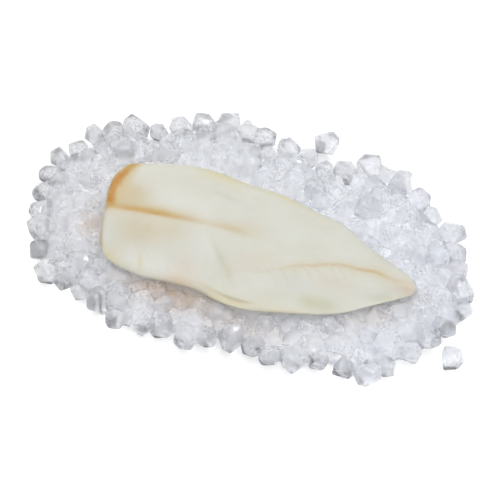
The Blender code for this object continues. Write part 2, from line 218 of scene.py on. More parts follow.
# Ice: the bed's outline through the middles of its outermost nuggets, in mm
BED_OUTLINE = [(-136, -37), (-145, -18), (-152, 11), (-157, 29), (-142, 47), (-136, 61), (-125, 73),
               (-105, 77), (-74, 92), (-47, 101), (-31, 95), (-17, 97), (13, 90), (34, 83), (57, 97),
               (75, 88), (87, 86), (111, 66), (124, 58), (138, 25), (145, -4), (127, -31), (109, -58),
               (95, -65), (66, -64), (54, -71), (30, -68), (0, -65), (-17, -77), (-37, -71), (-60, -77),
               (-80, -67), (-108, -57), (-124, -53)]
OUTLINE_FOR_HEIGHTS = 120
OUTLINE_FOR_FILLING = 240
OUTLINE_FOR_PLACES = 480

# Ice: the nuggets that lie apart, each as (place in mm, kind, turns)
STRAYS = {
    "stray_nugget_back": ((22, 108), 0, (0.4, 0.3, 0)),
    "stray_nugget_front": ((149, -36), 1, (1.4, 0.3, 1.1)),
}

# Ice: how high it is packed
SEAT_HEIGHT = 19 * MM
SHELF_HEIGHT = 11.5 * MM
RIM_OF_ICE = 5.5 * MM
SEAT_INSET = 6 * MM
SEAT_RUN = 11 * MM
SLOPE_RUN = 30 * MM
REST_GAP = 0.3 * MM

# Ice: one nugget of unit width, as corners on a jittered ball
NUGGET_CORNERS = 12
NUGGET_KINDS = 8
NUGGET_FLATNESS = 0.85
NUGGET_REACH = 0.58
LEAST_REACH = 0.82
CORNER_RISE = 0.07
CORNER_TURN = 0.4
NUGGET_ROUNDING = 0.04

# Ice: how the nuggets that show are spread, with their rise between two values in mm
NUGGET = 19.5 * MM
NUGGET_SCALE = 1.0
NUGGET_SPREAD = 0.18
NUGGET_WANDER = 2 * MM
NUGGET_RISE = (-1, 2)
EDGE_SPACING = 16 * MM
INNER_SPACING = 12 * MM
EDGE_ROOM = 0.7
BESIDE_FILLET = 3.5 * MM
BESIDE_SPACING = 13.5 * MM
LOW_NUGGET = 16 * MM
FILLET_CLEARANCE = 0.6 * MM
FLOOR_CLEARANCE = 0.3 * MM
PILE_RISE = 6 * MM
TRIES = 5000
SEED = 7

# Ice: how the small nuggets are spread that lie lower, between the others
FILL_SPACING = 9.5 * MM
FILL_NUGGET = 16 * MM
FILL_SPREAD = 0.2
FILL_PAST_OUTLINE = 3 * MM
FILL_UNDER_FILLET = 9 * MM
FILL_SINK = 0.6

# Ice: how many nuggets stay loose, and how the others run together
LOOSE_SHARE = 0.2
LOOSE_EDGE_SHARE = 0.45
EDGE_ROW = 3 * MM
MELT_GRAIN = 1.225 * MM
MELT_PASSES = 5

# Ice: where it gets brown painted shade and bounce light from the flesh, as for the fillet's patches
FLESH_SHADE_SPOTS = [((-38, -48), (30, 7), 2, 1.0), ((-108, -12), (9, 9), 0, 0.7), ((10, -55), (40, 7), 2, 0.3),
              ((92, -25), (28, 6), 36, 0.35), ((-100, 40), (20, 8), 40, 0.2)]

# Ice: painted shade on its sides low down by the floor: which way those faces turn, how much so, and how
# high up
PAINTED_SHADE_SIDE = (-0.49, -0.77, -0.41)
PAINTED_SHADE_LEVELS = (0.25, 0.5)
PAINTED_SHADE_HEIGHTS = (9 * MM, 5 * MM)

# Ice: its linear colours, and from where to where it turns bluer and painted lighter towards the tail and
# painted lighter at the back
NEUTRAL_ICE = (0.655, 0.655, 0.67)
BLUE_AND_LIT_ICE = (0.71, 0.72, 0.76)
WHITE_ICE = (0.87, 0.875, 0.89)
FLESH_SHADE_ICE = (0.60, 0.49, 0.39)
SHADED_ICE = (0.09, 0.094, 0.10)
CRACKED_ICE = (0.48, 0.49, 0.515)
BLUE_AND_LIT_TO_TAIL = (-130 * MM, 130 * MM)
LIT_AT_BACK = (55 * MM, 95 * MM)

# Ice: sizes of its dents, waves, small marks and cloudy and clear places
DENT_SIZE = 8 * MM
WAVE_SIZE = 6 * MM
MARK_SIZE = 1.9 * MM
CROWD_SIZE = 13 * MM
CLOUD_SIZE = 12 * MM
CLEARING_SIZE = 9 * MM
RELIEF_DEPTH = 1.4 * MM

# Ice: the levels of noise between which something starts to show
CROWDED = (0.48, 0.6)
CLOUDED = (0.45, 0.75)
CLEARED = (0.5, 0.66)
PAINTED_GLINT_MARKS = (0.46, 0.36)
CRACKED_MARKS = (0.56, 0.66)
CLEAR_MARKS = (0.5, 0.6)
FLESH_SHADE_LEVELS = (0.25, 0.55)

# Ice: how milky the loose nuggets and the heap are, how much painted glow they give, and how far clear
# places clear
LOOSE_MILKINESS = 0.45
LOOSE_GLOW = 0.215
HEAP_MILKINESS = 0.4
HEAP_GLOW = 0.175
CLEARING = 0.4

# Packed ice: its rings, its linear colours with grey as painted shade in its hollows, its grain and its
# painted glow
CORE_INSET = 4 * MM
CORE_SIDES = 330
CORE_RINGS = 30
CORE_CROWDING = 0.85
CORE_SINK = 1 * MM
PACKED_HOLLOW_SHADE = (0.64, 0.65, 0.67)
PACKED_WHITE = (0.78, 0.79, 0.81)
PACKED_GRAIN = 5 * MM
PACKED_GLOW = 0.08

# Camera: its angle, lens and distance, and the height it is aimed at
AZIMUTH = math.radians(18)
ELEVATION = math.radians(55)
LENS = 120
SENSOR = 36
VIEW_WIDTH = 335 * MM
AIM_HEIGHT = 15 * MM
NEAREST = 10 * MM

# Floor: its size in m, its linear colours, and its glow by the ice and beyond it, over an oval run
FLOOR_SIZE = 6
FLOOR_WHITE = (0.85, 0.85, 0.85, 1)
FLOOR_GLOW = (0.1, 0.1, 0.1)
FAR_FLOOR_GLOW = (0.32, 0.32, 0.32)
OVAL_LENGTH = 155 * MM
OVAL_WIDTH = 92 * MM
OVAL_RUN = (0.85, 1.1)

# Light: the sky's linear colours, the key lamp, and small lamps that only show as glints on wet faces
LOW_SKY = (0.34, 0.343, 0.35)
HIGH_SKY = (0.679, 0.686, 0.70)
SKY_RUN = (0.0, 0.7)
KEY_PLACE = (0.0, 0.15, 2.0)
KEY_SIZE = 2.0
KEY_POWER = 16
GLINTS = [(-0.5, 0.6, 0.9), (0.7, 0.3, 0.9), (0.1, -0.3, 1.2)]
GLINT_SIZE = 0.12
GLINT_POWER = 2.5


# Curves and heights of the fillet and the bed

def smooth_curve(points, samples, closed=False):
    """Evenly spaced points, in metres, of a Catmull-Rom curve through the given ones in mm."""
    knots = np.array(points, float) * MM
    if closed:
        padded = np.vstack([knots[-1], knots, knots[:2]])
    else:
        padded = np.vstack([2 * knots[0] - knots[1], knots, 2 * knots[-1] - knots[-2]])
    fine = []
    for i in range(len(padded) - 3):
        before, start, end, after = padded[i:i + 4]
        t = np.linspace(0, 1, CURVE_STEPS, endpoint=False)[:, None]
        fine.append(0.5 * (2 * start + (end - before) * t
                           + (2 * before - 5 * start + 4 * end - after) * t ** 2
                           + (3 * start - before - 3 * end + after) * t ** 3))
    fine = np.vstack(fine + [padded[-2][None]])
    travelled = np.concatenate([[0], np.cumsum(np.linalg.norm(np.diff(fine, axis=0), axis=1))])
    wanted = np.linspace(0, travelled[-1], samples + 1 if closed else samples)
    even = np.stack([np.interp(wanted, travelled, fine[:, k]) for k in (0, 1)], axis=1)
    return even[:-1] if closed else even


def smooth_step(value):
    """0 up to 0, 1 from 1 on, and smooth between them."""
    t = np.clip(value, 0, 1)
    return t * t * (3 - 2 * t)


def depth_in(loop, xy):
    """How deep each point of xy lies inside a closed loop of points, negative outside it."""
    start, end = loop, np.roll(loop, -1, axis=0)
    side = end - start
    offset = xy[:, None] - start[None]
    along = np.clip((offset * side).sum(2) / (side ** 2).sum(1), 0, 1)
    distance = np.linalg.norm(offset - along[..., None] * side, axis=2).min(1)
    crosses = (start[None, :, 1] > xy[:, None, 1]) != (end[None, :, 1] > xy[:, None, 1])
    rise = np.where(side[:, 1] == 0, 1, side[:, 1])
    crossing_x = start[:, 0] + (xy[:, None, 1] - start[:, 1]) / rise * side[:, 0]
    inside = ((crosses & (xy[:, None, 0] < crossing_x)).sum(1) % 2).astype(bool)
    return np.where(inside, distance, -distance)


def offset_loop(loop, distance):
    """The loop moved outwards by a distance; the loop runs anticlockwise."""
    ahead = np.roll(loop, -1, axis=0) - np.roll(loop, 1, axis=0)
    outwards = np.stack([ahead[:, 1], -ahead[:, 0]], axis=1)
    return loop + distance * outwards / np.linalg.norm(outwards, axis=1)[:, None]


def height_on(line, x):
    """The second value of a line of (place, value) points in mm at each x, in metres."""
    curve = smooth_curve(line, HEIGHT_STEPS)
    return np.interp(x, curve[:, 0], curve[:, 1])


def fillet_outline(samples_per_side=60):
    """The whole outline of the fillet as one anticlockwise loop."""
    belly = smooth_curve(BELLY_EDGE, samples_per_side)
    tail = smooth_curve(TAIL_EDGE, samples_per_side // 4)
    back = smooth_curve(BACK_EDGE, samples_per_side)[::-1]
    head = smooth_curve(HEAD_EDGE, samples_per_side // 2)[::-1]
    return np.vstack([belly[:-1], tail[:-1], back[:-1], head[:-1]])


def bed_outline(samples):
    """The loop through the middles of the outermost nuggets, anticlockwise."""
    return smooth_curve(BED_OUTLINE, samples, closed=True)[::-1]


def flesh_thickness(x, y):
    """Thickness of the flesh before its rim rolls over, and how far each point is on the belly side."""
    seam = height_on(SEAM_LINE, x)
    lateral = height_on(LATERAL_LINE, x)
    border = height_on(BELLY_BORDER, x)
    run = np.maximum(border - height_on(BELLY_EDGE, x), SHORTEST_RUN)
    belly = smooth_step((border - y) / run)
    back = smooth_step((y - border - BACK_START) / BACK_RUN)
    thickness = height_on(LOIN_THICKNESS, x) * (1 - BELLY_THINNING * belly - BACK_THINNING * back)
    seam_fade = 1 - smooth_step((x - SEAM_FADE_START) / SEAM_FADE_RUN)
    flank = np.where(y > seam, LOIN_FLANK, BELLY_FLANK)
    thickness -= SEAM_DEPTH * seam_fade * np.exp(-np.abs(y - seam) / flank)
    lateral_fade = smooth_step((x - LATERAL_START) / LATERAL_RUN)
    thickness -= LATERAL_DEPTH * lateral_fade * np.exp(-((y - lateral) / LATERAL_WIDTH) ** 2)
    return thickness, smooth_step((border - y) / SHORTEST_RUN)


def fillet_heights(x, y, depth):
    """Heights of the underside and of the top of the fillet at each point."""
    rim = SEAT_HEIGHT + RIM_HEIGHT
    thickness, belly_side = flesh_thickness(x, y)
    from_cut = smooth_step((x - CUT_START) / CUT_RUN)
    roll = CUT_ROLL + (LOIN_ROLL + (THIN_ROLL - LOIN_ROLL) * belly_side - CUT_ROLL) * from_cut
    under_roll = np.sqrt(1 - (1 - np.clip(depth / UNDER_ROLL, 0, 1)) ** 2)
    top_roll = np.sqrt(1 - (1 - np.clip(depth / roll, 0, 1)) ** 2)
    along_flap = 1 - smooth_step(np.abs(x - FLAP_MIDDLE) / FLAP_HALF_LENGTH)
    over_flap = 1 - smooth_step((depth - FLAP_WIDTH) / FLAP_STEP)
    top = rim + (thickness - RIM_HEIGHT) * top_roll
    top -= FLAP_DROP * along_flap * over_flap * top_roll * (y < 0)
    return rim - RIM_HEIGHT * under_roll, top


def edge_points(edge, t):
    """Points of one edge of the fillet at shares t of its length."""
    curve = smooth_curve(edge, EDGE_STEPS)
    even = np.linspace(0, 1, EDGE_STEPS)
    return np.stack([np.interp(t, even, curve[:, k]) for k in (0, 1)], axis=1)


def patch(u_lines, v_lines):
    """Points of the Coons patch between the fillet's four edges, as rows along its length."""
    belly, back = edge_points(BELLY_EDGE, u_lines), edge_points(BACK_EDGE, u_lines)
    head, tail = edge_points(HEAD_EDGE, v_lines), edge_points(TAIL_EDGE, v_lines)
    u, v = u_lines[:, None, None], v_lines[None, :, None]
    across = (1 - v) * belly[:, None] + v * back[:, None]
    along = (1 - u) * head[None] + u * tail[None]
    corners = ((1 - u) * (1 - v) * belly[0] + (1 - u) * v * back[0]
               + u * (1 - v) * belly[-1] + u * v * back[-1])
    return across + along - corners


def crowded_ends(count, crowding):
    """Values from 0 to 1 that crowd towards both ends, where the rim rolls over."""
    t = np.linspace(0, 1, count)
    return (1 - crowding) * t + crowding * (1 - np.cos(math.pi * t)) / 2


def ice_height(xy):
    """Top of the packed ice: the fillet's seat, a shelf round it and a slope down to the rim."""
    outside = -depth_in(fillet_outline(), xy)
    inside = depth_in(bed_outline(OUTLINE_FOR_HEIGHTS), xy)
    shelf = RIM_OF_ICE + (SHELF_HEIGHT - RIM_OF_ICE) * smooth_step(inside / SLOPE_RUN)
    seat = SEAT_HEIGHT - REST_GAP
    return seat + (shelf - seat) * smooth_step((outside + SEAT_INSET) / SEAT_RUN)


def frame_shift():
    """From the middle of the fillet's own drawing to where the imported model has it, level."""
    low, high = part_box("fillet")
    outline = fillet_outline()
    drawn = (outline.min(0) + outline.max(0)) / 2
    return Vector(((low.x + high.x) / 2 - drawn[0], (low.y + high.y) / 2 - drawn[1], 0))


# Node trees: expressions for numbers, and one method for every other node

class Wire:
    """An output socket of a node tree, which can be used in a Python expression."""

    def __init__(self, tree, socket):
        self.tree = tree
        self.socket = socket

    def math(self, operation, first, second=None):
        inputs = {0: first} if second is None else {0: first, 1: second}
        return self.tree.add("ShaderNodeMath", {"operation": operation}, inputs)[0]

    def __add__(self, other):
        return self.math("ADD", self, other)

    def __sub__(self, other):
        return self.math("SUBTRACT", self, other)

    def __rsub__(self, other):
        return self.math("SUBTRACT", other, self)

    def __mul__(self, other):
        return self.math("MULTIPLY", self, other)

    def __truediv__(self, other):
        return self.math("DIVIDE", self, other)

    def __pow__(self, other):
        return self.math("POWER", self, other)

    __radd__ = __add__
    __rmul__ = __mul__

    def size(self):
        return self.math("ABSOLUTE", self)

    def sine(self):
        return self.math("SINE", self)

    def step(self, start, end):
        """0 before start, 1 after end, and smooth between them."""
        settings = {"interpolation_type": "SMOOTHSTEP"}
        inputs = {"Value": self, "From Min": start, "From Max": end}
        return self.tree.add("ShaderNodeMapRange", settings, inputs)[0]

    def bell(self, middle, width):
        """1 at the middle, falling to 0 a few widths away."""
        off = (self - middle) / width
        return self.math("EXPONENT", off * off * -1)


class Outputs(list):
    """A node's outputs as wires, by place or by name."""

    def __getitem__(self, key):
        if isinstance(key, str):
            return next(wire for wire in self if wire.socket.name == key)
        return super().__getitem__(key)


class Tree:
    """A node tree that is being built."""

    def __init__(self, tree):
        self.tree = tree

    def add(self, kind, settings=None, inputs=None):
        """Adds a node with its settings, then its sockets' values or links, and gives its outputs."""
        node = self.tree.nodes.new(kind)
        for name, value in (settings or {}).items():
            setattr(node, name, value)
        for name, value in (inputs or {}).items():
            socket = node.inputs[name]
            if isinstance(value, Wire):
                self.tree.links.new(value.socket, socket)
            else:
                socket.default_value = value
        return Outputs(Wire(self, socket) for socket in node.outputs)

    def attribute(self, name):
        """A number of the mesh, for a material."""
        return self.add("ShaderNodeAttribute", {"attribute_name": name})["Fac"]

    def named(self, name, data_type="FLOAT"):
        """A value of the mesh, for geometry nodes."""
        return self.add("GeometryNodeInputNamedAttribute", {"data_type": data_type}, {"Name": name})[0]

    def noise(self, place, size, detail=2.0, distortion=0.0):
        """Noise from 0 to 1 whose blotches have a size in metres."""
        inputs = {"Vector": place, "Scale": 1 / size, "Detail": detail, "Distortion": distortion}
        return self.add("ShaderNodeTexNoise", None, inputs)["Fac"]

    def bump(self, strength, distance, height):
        inputs = {"Strength": strength, "Distance": distance, "Height": height}
        return self.add("ShaderNodeBump", None, inputs)[0]

    def tint(self, base, colour, amount):
        """The base colour moved towards another by an amount."""
        settings = {"data_type": "RGBA", "clamp_factor": True}
        inputs = {0: amount, 6: base if isinstance(base, Wire) else (*base, 1), 7: (*colour, 1)}
        return self.add("ShaderNodeMix", settings, inputs)[2]


def new_material(name):
    """An empty material and its tree."""
    made = bpy.data.materials.new(name)
    made.use_nodes = True
    made.node_tree.nodes.clear()
    return made, Tree(made.node_tree)


def surface(tree, inputs):
    """Ends a material in one Principled shader."""
    shader = tree.add("ShaderNodeBsdfPrincipled", None, inputs)[0]
    tree.add("ShaderNodeOutputMaterial", None, {"Surface": shader})


def new_group(name, sizes):
    """An empty geometry-nodes group with named inputs for its sizes, its tree and what goes in."""
    group = bpy.data.node_groups.new(name, "GeometryNodeTree")
    group.interface.new_socket("Geometry", in_out="INPUT", socket_type="NodeSocketGeometry")
    for size in sizes:
        group.interface.new_socket(size, in_out="INPUT", socket_type="NodeSocketFloat")
    group.interface.new_socket("Geometry", in_out="OUTPUT", socket_type="NodeSocketGeometry")
    tree = Tree(group)
    return group, tree, tree.add("NodeGroupInput")


def set_inputs(modifier, values):
    """Sets a geometry-nodes modifier's inputs by their sockets' identifiers."""
    for item in modifier.node_group.interface.items_tree:
        if item.in_out == "INPUT" and item.name in values:
            modifier[item.identifier] = values[item.name]


# Finishes

def flesh_finish():
    """Moist cream flesh with its brown seam and lateral line, its fatty head band and soft patches."""
    made, tree = new_material("roughy_flesh")
    place = tree.add("ShaderNodeTexCoord")["Object"]
    along = tree.attribute("along")
    across = tree.attribute("across")
    depth = tree.attribute("from_rim")
    broad = tree.noise(place, BROAD_SIZE, 3.0)
    blotch = tree.noise(place, BLOTCH_SIZE, 4.0, 0.8)
    pores = tree.noise(place, PORE_SIZE, 4.0)
    fibre = tree.add("ShaderNodeCombineXYZ", None, {"X": along * 0.12, "Y": across - 0.3 * along})[0]
    streak = tree.noise(fibre, STREAK_SIZE, 3.0, 0.3)
    wander = (blotch - 0.5) * WANDER

    colour = tree.tint(CREAM, WHITE, broad.step(0.4, 0.65) * 0.6 + streak.step(0.5, 0.75) * 0.25)
    colour = tree.tint(colour, GREY, streak.step(0.42, 0.25) * 0.16)
    for name, tint in PATCH_TINTS.items():
        colour = tree.tint(colour, tint, tree.attribute(name) * (0.55 + 0.9 * blotch))
    colour = tree.tint(colour, OLIVE, tree.attribute("flake") * 0.35)
    rim = 1 - depth.step(*RIM_FADE)
    colour = tree.tint(colour, STRAW, rim * 0.1)

    seam = tree.attribute("from_seam") + wander
    strength = tree.attribute("seam_tint")
    colour = tree.tint(colour, TAN, strength * seam.bell(*SEAM_WASH) * 0.75)
    colour = tree.tint(colour, BROWN, strength * seam.bell(*SEAM_CORE) * (0.6 + 0.5 * streak))
    colour = tree.tint(colour, FAT, strength * seam.bell(*SEAM_FAT) * 0.45 * blotch)
    lateral = tree.attribute("from_lateral") + wander * 2
    strength = tree.attribute("lateral_tint")
    colour = tree.tint(colour, TAN, strength * lateral.bell(*LATERAL_WASH) * 0.5)
    colour = tree.tint(colour, BROWN, strength * lateral.bell(*LATERAL_CORE) * (0.15 + 0.8 * blotch))

    band = across.step(*BAND_BOTTOM) * across.step(*BAND_TOP)
    off_middle = across - BAND_MIDDLE
    from_band = along - BAND_PLACE - off_middle * off_middle * BAND_BEND + wander * 3
    fat = from_band.bell(*BAND_FAT) * (0.5 + 1.3 * blotch) * across.step(*BAND_FAT_TOP)
    colour = tree.tint(colour, TAN, band * along.step(*BAND_WASH_END) * 0.65)
    colour = tree.tint(colour, BROWN, band * from_band.bell(*BAND_CORE) * 0.88)
    colour = tree.tint(colour, FAT, band * fat)
    cut = along.step(*CUT_FACE) * across.step(*CUT_TOP) * across.step(*CUT_BOTTOM)
    colour = tree.tint(colour, BROWN, cut * depth.step(*CUT_RIM) * 0.6)
    fold = along.step(*FOLD_START) * along.step(*FOLD_END) * across.step(*FOLD_SIDE)
    colour = tree.tint(colour, TAN, fold * (depth + wander).bell(*FOLD_SHADE) * 0.4)
    colour = tree.tint(colour, STRAW, fold * depth.step(*FOLD_RIM) * 0.2)

    surface(tree, {
        "Base Color": colour,
        "Roughness": 0.5 - 0.1 * pores,
        "Specular IOR Level": 0.3,
        "Normal": tree.bump(0.35, 0.5 * MM, 0.6 * pores + 0.6 * streak),
        "Subsurface Weight": 0.3,
        "Subsurface Radius": (1.0, 0.8, 0.5),
        "Subsurface Scale": 1.4 * MM,
        "Coat Weight": 0.07,
        "Coat Roughness": 0.25,
        "IOR": 1.42,
    })
    return made


def ice_colour(tree, place, parts, marks, crowded):
    """Grey-white ice: blue towards the tail, with painted light and shade, and small marks where they
    crowd.
    """
    cloud = tree.noise(place, CLOUD_SIZE, 3.0, 0.5)
    # Bluer towards the tail; lighter towards the tail and at the back as painted light; paler in random
    # clouds
    colour = tree.tint(NEUTRAL_ICE, BLUE_AND_LIT_ICE, parts["X"].step(*BLUE_AND_LIT_TO_TAIL) * 0.9)
    cloudy_and_lit = cloud.step(*CLOUDED) * 0.4 + parts["Y"].step(*LIT_AT_BACK) * 0.4
    colour = tree.tint(colour, WHITE_ICE, cloudy_and_lit)
    # Brown painted shade and bounce light from the flesh, beside the fillet
    colour = tree.tint(colour, FLESH_SHADE_ICE, tree.attribute("flesh_shade") * cloud.step(*FLESH_SHADE_LEVELS))
    # White flecks where the marks crowd: painted glints
    colour = tree.tint(colour, WHITE_ICE, marks.step(*PAINTED_GLINT_MARKS) * crowded * 0.75)
    return tree.tint(colour, CRACKED_ICE, marks.step(*CRACKED_MARKS) * crowded * 0.7)


def ice_finish(name, milkiness, glow):
    """Wet ice: clear where light goes straight in, milky where bubbles scatter it."""
    made, tree = new_material(name)
    place = tree.add("ShaderNodeTexCoord")["Object"]
    parts = tree.add("ShaderNodeSeparateXYZ", None, {0: place})
    dents = tree.add("ShaderNodeTexVoronoi", {"feature": "SMOOTH_F1"},
                     {"Vector": place, "Scale": 1 / DENT_SIZE, "Smoothness": 0.4})["Distance"]
    waves = tree.noise(place, WAVE_SIZE, 2.0, 0.6)
    marks = tree.noise(place, MARK_SIZE, 2.0, 0.3)
    crowded = tree.noise(place, CROWD_SIZE, 1.0).step(*CROWDED)
    height = 1.5 * dents * dents + 0.4 * waves + 0.12 * marks * crowded
    relief = tree.bump(0.4, RELIEF_DEPTH, height)
    colour = ice_colour(tree, place, parts, marks, crowded)
    # Painted shade: faces turned down to the lower left, low by the floor, are darkened in both parts of
    # the ice
    shade = tree.attribute("painted_shade_facing").step(*PAINTED_SHADE_LEVELS) * parts["Z"].step(*PAINTED_SHADE_HEIGHTS)
    light = tree.tint(tree.tint(colour, WHITE_ICE, 0.6), SHADED_ICE, shade)
    colour = tree.tint(colour, SHADED_ICE, shade)
    clear = tree.add("ShaderNodeBsdfPrincipled", None, {
        "Base Color": light,
        "Roughness": 0.03,
        "Transmission Weight": 1.0,
        "IOR": 1.31,
        "Normal": relief,
    })[0]
    # The milky part glows a little: painted light that lifts its shade
    milk = tree.add("ShaderNodeBsdfPrincipled", None, {
        "Base Color": colour,
        "Roughness": 0.12,
        "Subsurface Weight": 1.0,
        "Subsurface Radius": (0.9, 0.95, 1.0),
        "Subsurface Scale": 4 * MM,
        "IOR": 1.31,
        "Emission Color": colour,
        "Emission Strength": glow,
        "Normal": relief,
    })[0]
    clearing = tree.noise(place, CLEARING_SIZE, 1.0).step(*CLEARED)
    clearing = clearing + 0.6 * marks.step(*CLEAR_MARKS) * crowded
    share = milkiness * (1 - CLEARING * clearing)
    mixed = tree.add("ShaderNodeMixShader", None, {0: share, 1: clear, 2: milk})[0]
    tree.add("ShaderNodeOutputMaterial", None, {"Surface": mixed})
    return made


def packed_ice_finish():
    """The crushed ice under the nuggets: frosted white, with painted shade in the hollows of its grain and
    a painted glow.
    """
    made, tree = new_material("packed_ice")
    place = tree.add("ShaderNodeTexCoord")["Object"]
    grain = tree.noise(place, PACKED_GRAIN, 4.0, 0.5)
    # Grey in the hollows of the grain's bump: painted shade
    colour = tree.tint(PACKED_HOLLOW_SHADE, PACKED_WHITE, grain.step(0.3, 0.7))
    # Brown painted shade and bounce light from the flesh, beside the fillet
    colour = tree.tint(colour, FLESH_SHADE_ICE, tree.attribute("flesh_shade") * 0.8)
    surface(tree, {
        "Base Color": colour,
        # Painted glow that lifts the shade between the nuggets
        "Emission Color": colour,
        "Emission Strength": PACKED_GLOW,
        "Roughness": 0.3 + 0.3 * grain,
        "Subsurface Weight": 0.5,
        "Subsurface Radius": (0.8, 0.9, 1.0),
        "Subsurface Scale": 10 * MM,
        "Normal": tree.bump(0.7, 1.5 * MM, grain),
    })
    return made


def floor_finish():
    """Plain near-white floor, which glows a little beyond the ice so that it stays white there."""
    made, tree = new_material("pale_floor")
    parts = tree.add("ShaderNodeSeparateXYZ", None, {0: tree.add("ShaderNodeTexCoord")["Object"]})
    reach = ((parts["X"] / OVAL_LENGTH) ** 2 + (parts["Y"] / OVAL_WIDTH) ** 2) ** 0.5
    glow = tree.tint(FLOOR_GLOW, FAR_FLOOR_GLOW, reach.step(*OVAL_RUN))
    diffuse = tree.add("ShaderNodeBsdfDiffuse", None, {"Color": FLOOR_WHITE})[0]
    light = tree.add("ShaderNodeEmission", None, {"Color": glow, "Strength": 1.0})[0]
    both = tree.add("ShaderNodeAddShader", None, {0: diffuse, 1: light})[0]
    tree.add("ShaderNodeOutputMaterial", None, {"Surface": both})
    return made


# Meshes

def add_object(name, mesh, finish=None):
    obj = bpy.data.objects.new(name, mesh)
    if finish is not None:
        obj.data.materials.append(finish)
    bpy.context.scene.collection.objects.link(obj)
    return obj


def mesh_of(made, name):
    """The plain mesh of a bmesh, with its faces turned outwards."""
    mesh = bpy.data.meshes.new(name)
    bmesh.ops.recalc_face_normals(made, faces=made.faces)
    made.to_mesh(mesh)
    made.free()
    return mesh


def apply_modifiers(obj):
    """Leaves the evaluated shape as the object's plain mesh."""
    graph = bpy.context.evaluated_depsgraph_get()
    shape = bpy.data.meshes.new_from_object(obj.evaluated_get(graph))
    obj.modifiers.clear()
    obj.data = shape


def set_attribute(mesh, name, values):
    mesh.attributes.new(name, "FLOAT", "POINT").data.foreach_set("value", np.asarray(values, np.float32))


def patch_strength(x, y, place, half_sizes, lean, strength):
    """Strength of one soft oval patch at each point."""
    turn = math.radians(lean)
    off_x, off_y = x - place[0], y - place[1]
    lengthwise = (off_x * math.cos(turn) + off_y * math.sin(turn)) / half_sizes[0]
    sideways = (off_y * math.cos(turn) - off_x * math.sin(turn)) / half_sizes[1]
    return strength * np.exp(-(lengthwise ** 2 + sideways ** 2))


def fillet_places(x, y, depth):
    """Where each point of the top lies on the fillet, by the names that its finish and relief read."""
    places = {
        "along": x,
        "across": y,
        "from_seam": y - height_on(SEAM_LINE, x),
        "from_lateral": y - height_on(LATERAL_LINE, x),
        "from_rim": depth,
        "topside": np.ones(len(x)),
        "seam_tint": np.interp(x / MM, *np.transpose(SEAM_TINT)),
        "lateral_tint": np.interp(x / MM, *np.transpose(LATERAL_TINT)),
    }
    for name, patches in PATCHES.items():
        places[name] = sum(patch_strength(x / MM, y / MM, *spot) for spot in patches)
    return places


def fillet_shell(shift):
    """The fine grid of the fillet as one closed mesh, with the places on it that its colours follow."""
    points = patch(crowded_ends(ROWS_ALONG, CROWDING_ALONG), crowded_ends(ROWS_ACROSS, CROWDING_ACROSS))
    flat = points.reshape(-1, 2)
    x, y = flat.T
    depth = np.maximum(depth_in(fillet_outline(), flat), LEAST_DEPTH)
    under, top = (heights.reshape(points.shape[:2]) for heights in fillet_heights(x, y, depth))
    rim = np.ones(top.shape, bool)
    rim[1:-1, 1:-1] = False
    top[rim] = SEAT_HEIGHT + RIM_HEIGHT
    inner = ~rim.ravel()
    level = flat + np.array(shift)[:2]
    top_corners = np.column_stack([level, top.ravel()])
    under_corners = np.column_stack([level[inner], under.ravel()[inner]])
    upper = np.arange(top.size).reshape(top.shape)
    lower = upper.copy()
    lower[~rim] = top.size + np.arange(inner.sum())
    faces = []
    for grid, order in ((upper, (0, 1, 2, 3)), (lower, (0, 3, 2, 1))):
        quads = np.stack([grid[:-1, :-1], grid[1:, :-1], grid[1:, 1:], grid[:-1, 1:]], axis=-1)
        # Two corners are split the other way, so that the top and the underside share no triangle
        for corner in ((0, -1), (-1, 0)):
            quads[corner] = np.roll(quads[corner], 1)
        faces.append(quads.reshape(-1, 4)[:, order])
    mesh = bpy.data.meshes.new("fillet_flesh")
    mesh.from_pydata(np.vstack([top_corners, under_corners]).tolist(), [], np.vstack(faces).tolist())
    for name, values in fillet_places(x, y, depth).items():
        below = np.zeros(inner.sum()) if name == "topside" else values[inner]
        set_attribute(mesh, name, np.concatenate([values, below]))
    mesh.shade_smooth()
    return mesh


def flake_tree():
    """Geometry nodes that sink the thin seams between the muscle flakes into the top of the flesh."""
    group, tree, given = new_group("muscle_flakes", ("Spacing", "Depth"))
    lateral = tree.named("from_lateral")
    along = tree.named("along")
    place = tree.add("GeometryNodeInputPosition")[0]
    wander = tree.noise(place, FLAKE_WANDER_SIZE, 2.0) * FLAKE_WANDER
    bend = (lateral.size() + FLAKE_TIP) ** FLAKE_CURVE * FLAKE_REACH
    phase = (along - bend * FLAKE_LEAN) / given["Spacing"] + wander
    seam = 1 - (phase * math.pi).sine().size().step(0.0, 0.35)
    under_line = lateral.step(*FLAKES_UNDER_LINE[0]) * lateral.step(*FLAKES_UNDER_LINE[1])
    by_tail = along.step(*FLAKES_BY_TAIL[0]) * along.step(*FLAKES_BY_TAIL[1])
    patchy = tree.noise(place, FLAKE_PATCH_SIZE, 2.0).step(0.45, 0.75) * 0.5 + under_line * by_tail * 0.8
    flake = seam * patchy * (tree.named("topside") * tree.named("from_rim").step(0.0, FLAKE_RIM))
    normal = tree.add("GeometryNodeInputNormal")[0]
    drop = tree.add("ShaderNodeVectorMath", {"operation": "SCALE"},
                    {0: normal, "Scale": flake * given["Depth"] * -1})[0]
    moved = tree.add("GeometryNodeSetPosition", None, {"Geometry": given["Geometry"], "Offset": drop})[0]
    kept = tree.add("GeometryNodeStoreNamedAttribute", {"data_type": "FLOAT", "domain": "POINT"},
                    {"Geometry": moved, "Name": "flake", "Value": flake})[0]
    tree.add("NodeGroupOutput", None, {0: kept})
    return group


